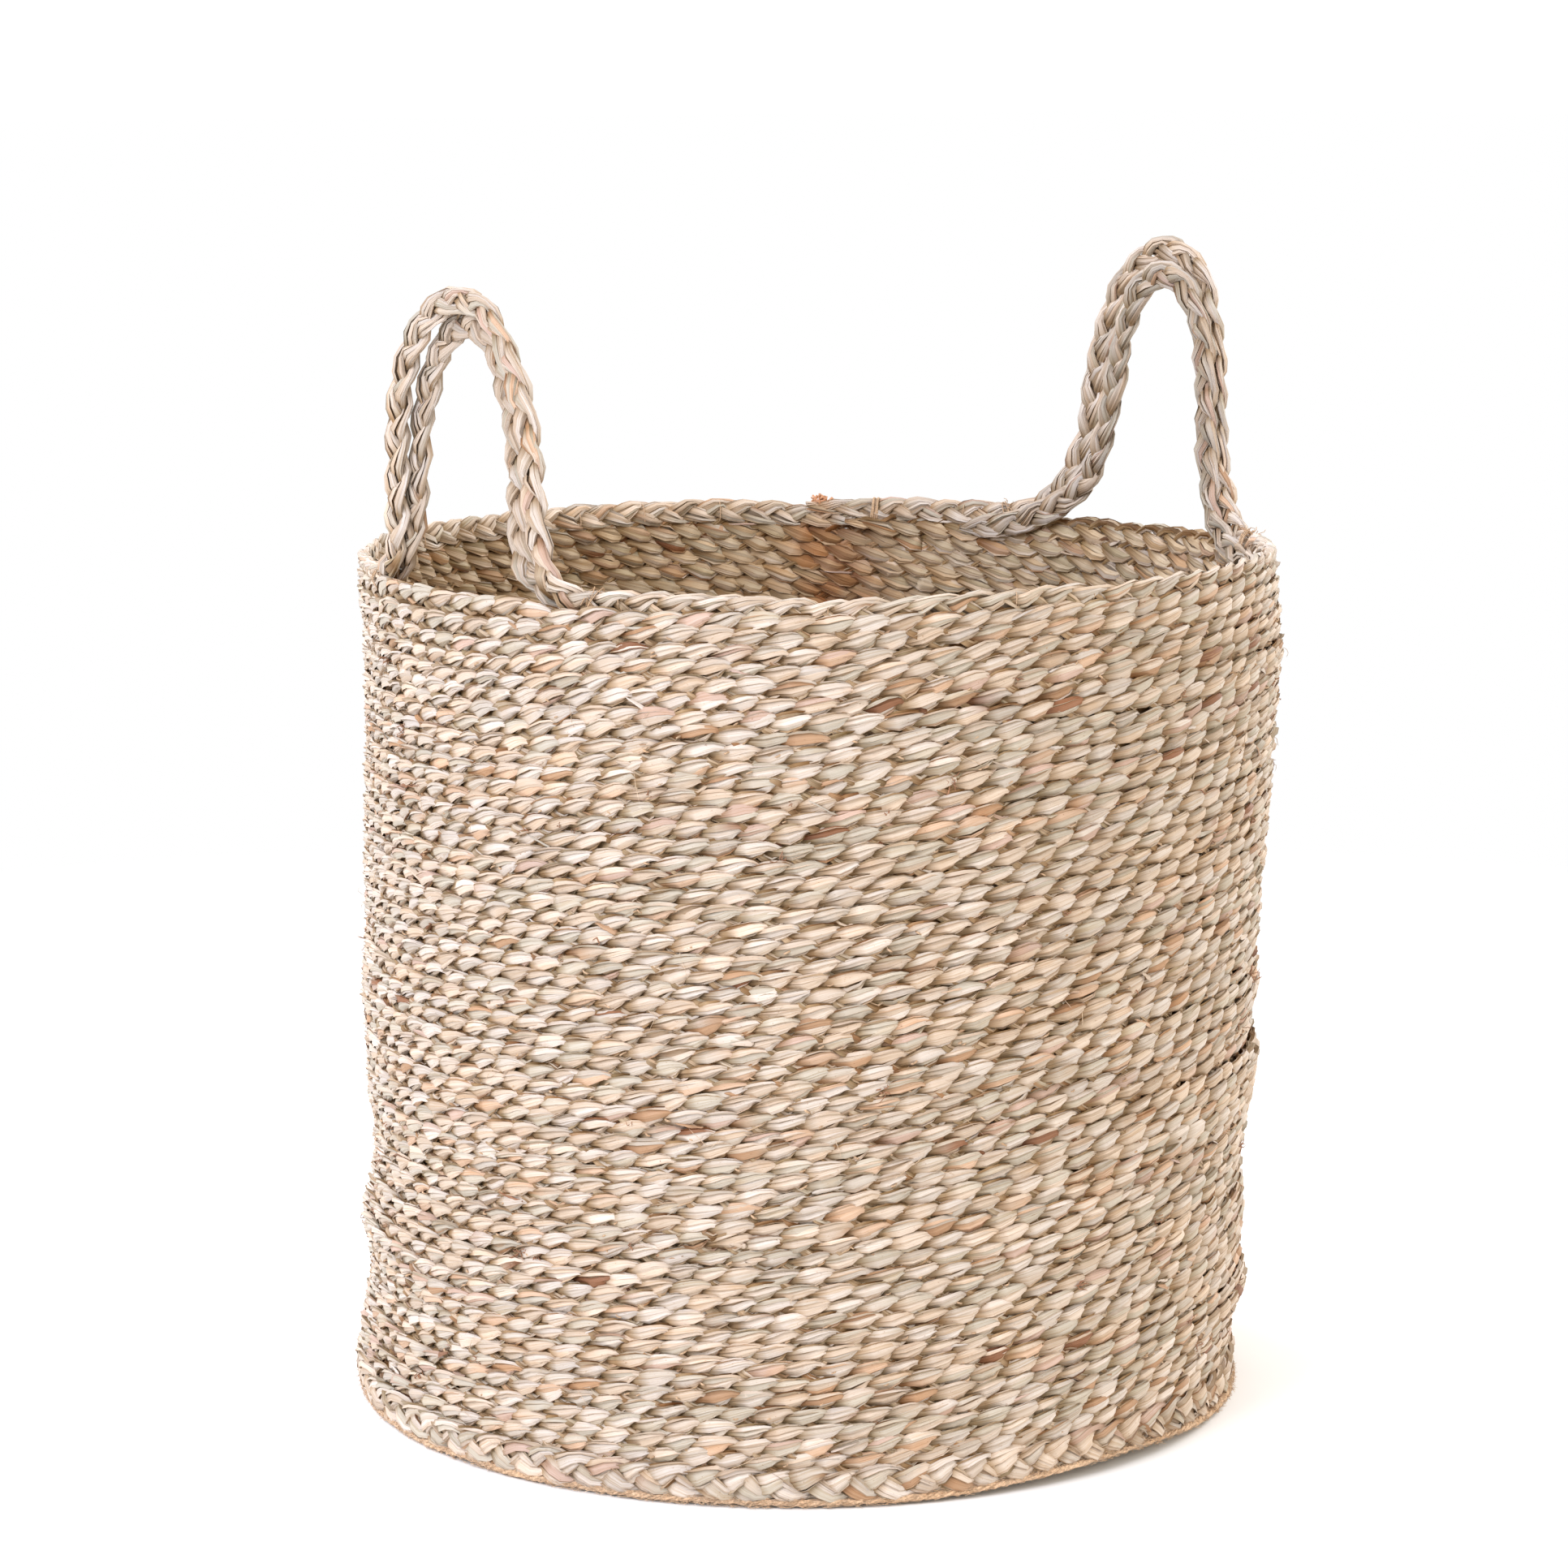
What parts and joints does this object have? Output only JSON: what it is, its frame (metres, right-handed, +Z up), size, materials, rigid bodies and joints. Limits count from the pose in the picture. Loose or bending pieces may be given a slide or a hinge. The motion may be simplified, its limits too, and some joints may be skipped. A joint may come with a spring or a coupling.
{
  "type": "seagrass storage basket",
  "caption": "Round open storage basket of coiled, lapped flat seagrass braid, with a flat coiled base and upright looped braid handles that fold at the rim.",
  "frame": {"origin": "centre of the underside, on the surface that the basket stands on", "axes": "+Z up along the basket's axis; the handles stand at -X (left) and +X (right); -Y is the front"},
  "size_m": [0.4497, 0.4498, 0.565],
  "materials": {
    "seagrass_wall": "dry split seagrass blades, satin, straw with grey-green and pinkish blades",
    "seagrass_rim": "dry split seagrass blades, satin",
    "seagrass_handle": "dry split seagrass blades, satin",
    "seagrass_base": "dry split seagrass blades, matt",
    "jute_cord": "twisted jute, hairy, matt",
    "jute_thread": "thin twisted jute thread, matt"
  },
  "bodies": {
    "basket": {"base_coil_braid": "seagrass_base", "base_edge_cord": "jute_cord", "base_stitches": "jute_thread", "bottom_edge_braid": "seagrass_wall", "wall_braid_1": "seagrass_wall", "wall_braid_2": "seagrass_wall", "wall_braid_3": "seagrass_wall", "wall_braid_4": "seagrass_wall", "wall_braid_5": "seagrass_wall", "wall_braid_6": "seagrass_wall", "wall_braid_7": "seagrass_wall", "wall_braid_8": "seagrass_wall", "under_rim_braid": "seagrass_wall", "rim_braid_front": "seagrass_rim", "rim_braid_back": "seagrass_rim", "handle_foot_lashings": "jute_thread", "rim_stitches": "jute_thread", "wall_stitches": "jute_thread"},
    "handle_left": {"handle_left_outer_braid": "seagrass_handle", "handle_left_inner_braid": "seagrass_handle"},
    "handle_right": {"handle_right_outer_braid": "seagrass_handle", "handle_right_inner_braid": "seagrass_handle"}
  },
  "joints": [
    {"name": "left_handle_fold", "type": "hinge", "parent": "basket", "child": "handle_left", "pos_m": [-0.2148, 0, 0.41443], "axis": [0, 1, 0], "range_deg": [-60, 85], "stiffness_Nm_per_rad": 0.25},
    {"name": "right_handle_fold", "type": "hinge", "parent": "basket", "child": "handle_right", "pos_m": [0.2148, 0, 0.41443], "axis": [0, -1, 0], "range_deg": [-60, 85], "stiffness_Nm_per_rad": 0.25}
  ]
}
